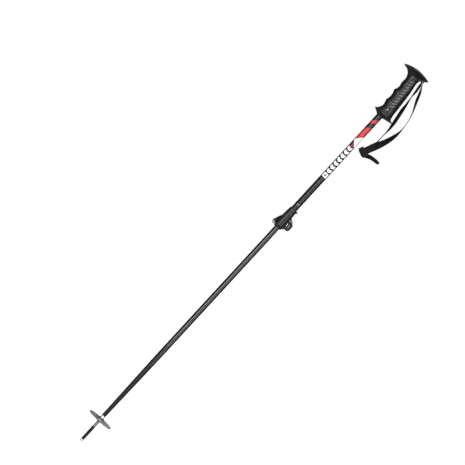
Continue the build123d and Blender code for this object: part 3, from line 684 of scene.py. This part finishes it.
# Routes: x, y, z and the turn of the webbing about its run, from 0 edge-on to 90 facing the front
INNER_RUN = [
    (30.8, 0.7, 844.4, 90), (32.9, 0.7, 850.5, 84), (33.5, 0.6, 858.5, 44), (32.8, 0.3, 867.0, 7),
    (32.6, 0.0, 876.0, 2), (32.7, 0.0, 886.0, 2), (33.2, -0.3, 900.0, 11), (31.9, -1.0, 915.0, 24),
    (29.6, -1.0, 930.0, 27), (26.8, -0.6, 946.0, 27), (25.7, -0.4, 954.0, 23), (24.8, -0.2, 962.0, 16),
    (23.3, 0.0, 972.0, 8), (21.8, 0.0, 980.0, 3), (21.6, 0.0, 988.0, 8), (21.0, 0.0, 996.0, 15),
    (19.2, 0.0, 1009.0, 17), (17.2, 0.0, 1018.0, 6),
]
PIN_BEND = [
    (PIN_X - PIN_BEND_R * math.cos(angle), 0.0, PIN_Z + PIN_BEND_R * math.sin(angle), 0.0)
    for angle in np.linspace(0.2, math.pi - 0.2, 9)
]
OUTER_RUN = [
    (20.4, 0.0, 1018.6, 2), (22.9, 0.0, 1012.6, 10), (28.7, 0.0, 1001.0, 22), (34.6, 0.0, 985.0, 25),
    (40.5, 0.0, 971.5, 18), (46.6, 0.0, 957.0, 9), (50.8, 0.0, 940.0, 4), (52.8, 0.0, 925.0, 4),
    (52.9, 0.0, 911.0, 16), (50.8, -0.2, 897.0, 32), (47.2, -0.5, 883.0, 44), (42.3, -0.7, 870.0, 60),
    (37.4, -0.7, 859.0, 78), (33.2, -0.7, 850.0, 88), (30.8, -0.7, 844.4, 90),
]
TAIL = [
    (26.5, 8.6, 828.3, 50), (31.0, 8.8, 829.3, 48), (35.0, 8.8, 830.6, 44), (43.5, 8.4, 833.9, 39),
    (53.0, 8.0, 835.4, 36), (60.5, 8.0, 835.9, 34), (66.2, 8.0, 835.9, 32),
]


def webbing():
    """Black woven webbing: yarns in a brick pattern, from the ribbon's own width and length in cm."""
    shader = Shader("webbing_black", (0.005, 0.005, 0.006), 0.8, Specular_IOR_Level=0.2)
    u, v, _ = shader.add("SeparateXYZ", shader.add("UVMap", uv_map="along").outputs[0]).outputs
    column = shader.math("MULTIPLY", u, YARNS)
    stagger = shader.math("MULTIPLY", shader.math("FLOOR", column), 0.5)
    row = shader.math("MULTIPLY_ADD", v, WEFTS, stagger)
    height = shader.product(shader.arch(row), shader.math("POWER", shader.arch(column), 0.6))
    # Yarn crests lighter and the hollows between yarns darker: painted shade in the weave
    yarn = shader.mix(height, (0.0015, 0.0015, 0.0015), (0.007, 0.007, 0.0075))
    fuzz = shader.remap(shader.noise(0.6, 4.0), 0.55, 0.8, 0.0, 0.4)
    shader.link(shader.mix(fuzz, yarn, (0.014, 0.014, 0.015)), "Base Color")
    shader.link(shader.remap(height, 0.0, 1.0, 0.9, 0.62), "Roughness")
    shader.bump(height, 0.12)
    return shader.material


def unit(vectors):
    return vectors / np.linalg.norm(vectors, axis=1, keepdims=True)


def make_ribbon(name, route, material):
    """Flat webbing along a route, with rounded edges and a rounded far end."""
    line = catmull(route, ROUTE_STEPS)
    centre, turn = line[:, :3], np.radians(line[:, 3:])
    run = unit(np.gradient(centre, axis=0))
    side = unit(np.cross(run, [0.0, 1.0, 0.0]))
    # The cross product can swap sides along the route, so each swap is turned back.
    turned_over = np.sum(side[1:] * side[:-1], axis=1) < 0
    side[1:] *= np.cumprod(np.where(turned_over, -1, 1))[:, None]
    wide = np.cross(side, run) * np.cos(turn) + side * np.sin(turn)
    thick = np.cross(run, wide)
    gone = np.concatenate([[0], np.cumsum(np.linalg.norm(np.diff(centre, axis=0), axis=1))])
    left = np.clip((gone[-1] - gone) / (WEBBING_W / 2), 0, 1)
    half = WEBBING_W / 2 * np.sqrt(np.clip(1 - (1 - left) ** END_SQUARE, END_LEAST, 1))
    edge = np.array(ACROSS)
    bulge = WEBBING_T / 2 * np.sqrt(1 - np.abs(edge) ** EDGE_SQUARE)
    section = [*zip(edge, bulge), *zip(edge[-2:0:-1], -bulge[-2:0:-1])]
    verts = [at + w * a * h + n * b for at, w, n, h in zip(centre, wide, thick, half) for a, b in section]
    uvs = [(a * h / 10 + 2.0, s / 10) for h, s in zip(half, gone) for a, _ in section]
    faces = ring_faces(len(centre), len(section)) + end_faces(len(centre), len(section))
    ribbon = make_object(name, verts, faces, material, uvs)
    face_outwards(ribbon.data)
    ribbon.data.set_sharp_from_angle(angle=math.radians(60))
    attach(ribbon, "strap")
    return ribbon


def in_slider(*stations):
    """Route points by their distance up the slider's lean and their depth."""
    lean = math.radians(SLIDER_LEAN)
    rise_x, rise_z = math.sin(lean), math.cos(lean)
    return [(SLIDER_X + along * rise_x, y, SLIDER_Z + along * rise_z, 90.0) for along, y in stations]


def make_strap(material):
    """Webbing from the slider up round the pin, down through the slider and over its foot, and its tail."""
    start = in_slider((-5.0, 0.7), (0.0, 0.7), (8.0, 0.7))
    foot = [(-4.6, -0.7), (-6.0, 0.3), (-6.1, 2.4), (-4.8, 3.9)]
    fold = in_slider((8.0, -0.7), (0.0, -0.7), *foot, (3.0, 4.1))
    loop = make_ribbon("strap_loop", [*start, *INNER_RUN, *PIN_BEND, *OUTER_RUN, *fold], material)
    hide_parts("wrist_strap")
    make_ribbon("strap_tail", TAIL, material)


# ---------------------------------------------------------------- put together
def dress(materials):
    for node, material in materials.items():
        thing = NODES[node]
        thing.data.materials.clear()
        thing.data.materials.append(material)


make_camera()
make_world()
make_floor()
for lamp in LAMPS:
    make_lamp(*lamp)

RUBBER = grip_rubber()
make_grip(RUBBER)
make_cheeks(RUBBER)
make_strap(webbing())

CLAMP = moulded("clamp_grey", (0.01, 0.01, 0.0125), 0.36, 1.2, 0.02, Specular_IOR_Level=0.35)
BRIGHT = metal("bright_steel", (0.72, 0.72, 0.74), 0.2)
GLOSS = moulded("gloss_black_plastic", (0.006, 0.006, 0.007), 0.26, 1.0, 0.015, Specular_IOR_Level=0.4)
LID = moulded("lid_black", (0.011, 0.011, 0.012), 0.42, GRAIN, 0.04, Specular_IOR_Level=0.4)
# The screw's socket and the rivet's dimple are painted dark as their shade
SCREW = round_head("plated_screw", SCREW_AT, SOCKET_R, (0.02, 0.02, 0.02), (0.82, 0.82, 0.84), 0.18, 1.0)
RIVET = round_head("rivet_grey", RIVET_AT, DIMPLE_R, (0.004, 0.004, 0.005), (0.06, 0.06, 0.066), 0.34, 0.0)
dress({
    "grip_body": RUBBER,
    "grip_lid": LID,
    "lid_pin": metal("pin_steel", (0.55, 0.55, 0.57), 0.3),
    "strap_pin": BRIGHT,
    "upper_tube": tube_print(),
    "lower_tube": tube_black(),
    "end_plug": GLOSS,
    "guide_bush": GLOSS,
    "clamp_collar": CLAMP,
    "collar_rivet": RIVET,
    "cam_lever": CLAMP,
    "cam_plate": BRIGHT,
    "clamp_screw": SCREW,
    "screw_washer": BRIGHT,
    "barrel_pin": BRIGHT,
    "ferrule": polished_ferrule(),
    "basket": smoke_plastic(),
    "tip_sleeve": GLOSS,
    "tip_point": metal("hard_steel", (0.88, 0.88, 0.9), 0.42, 2.5),
    "wrist_strap": RUBBER,
    "strap_slider": GLOSS,
})

bpy.context.view_layer.update()
